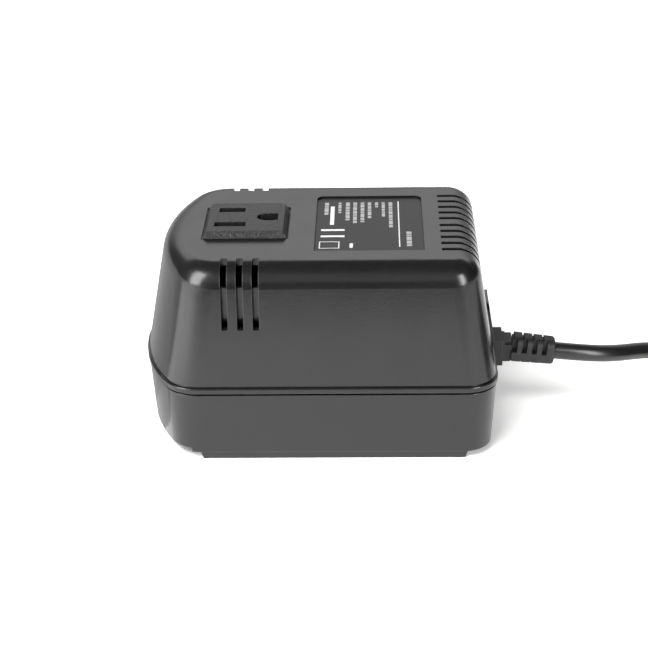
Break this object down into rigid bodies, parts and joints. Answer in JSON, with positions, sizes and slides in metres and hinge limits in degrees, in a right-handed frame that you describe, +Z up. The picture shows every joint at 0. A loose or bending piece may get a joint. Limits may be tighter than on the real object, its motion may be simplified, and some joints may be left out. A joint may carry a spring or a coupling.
{
  "type": "travel voltage converter",
  "caption": "Step-down autotransformer in a two-part moulded case, with a three-pole outlet in its roof, cooling slots and a two-core mains lead with a flat plug.",
  "frame": {"origin": "centre of the case's footprint at the level of its rails, which is the floor", "axes": "+X towards the lead, +Y to the case's long back side, +Z up through the roof"},
  "size_m": [0.2954, 0.0889, 0.0718],
  "materials": {
    "case": "fine spark-eroded grain",
    "insert": "coarser grain",
    "label": "satin printed film",
    "steel": "zinc plated",
    "contact": "rolled strip",
    "lamination": "stacked sheets",
    "bobbin": "satin",
    "enamelled_wire": "enamelled copper wire",
    "tape": "polyester film",
    "fuse": "drawn can",
    "lead_brown": "pvc",
    "lead_blue": "pvc",
    "cord_moulding": "satin",
    "cord_jacket": "smooth pvc with a soft sheen",
    "tie": "flat strip",
    "pin_metal": "nickel plate",
    "sleeve": "satin"
  },
  "bodies": {
    "root": {"top_cover": "case", "base_tray": "case", "case_screws": "steel", "rating_label": "label", "socket_face": "insert", "socket_body": "insert", "socket_rear_plate": "insert", "socket_contact_line": "contact", "socket_contact_neutral": "contact", "socket_contact_ground": "contact", "core_e_stack": "lamination", "core_i_stack": "lamination", "bobbin": "bobbin", "common_winding": "enamelled_wire", "series_winding": "enamelled_wire", "winding_tape": "tape", "core_bolts": "steel", "core_washers": "steel", "thermal_fuse": "fuse", "mains_lead_line": "lead_brown", "mains_lead_neutral": "lead_blue", "outlet_lead_line": "lead_brown", "outlet_lead_neutral": "lead_blue", "cord_grip": "cord_moulding", "mains_cord": "cord_jacket", "cord_coil": "cord_jacket", "cord_tie": "tie", "plug_body": "cord_moulding", "plug_pins": "pin_metal", "pin_sleeves": "sleeve"}
  },
  "joints": []
}
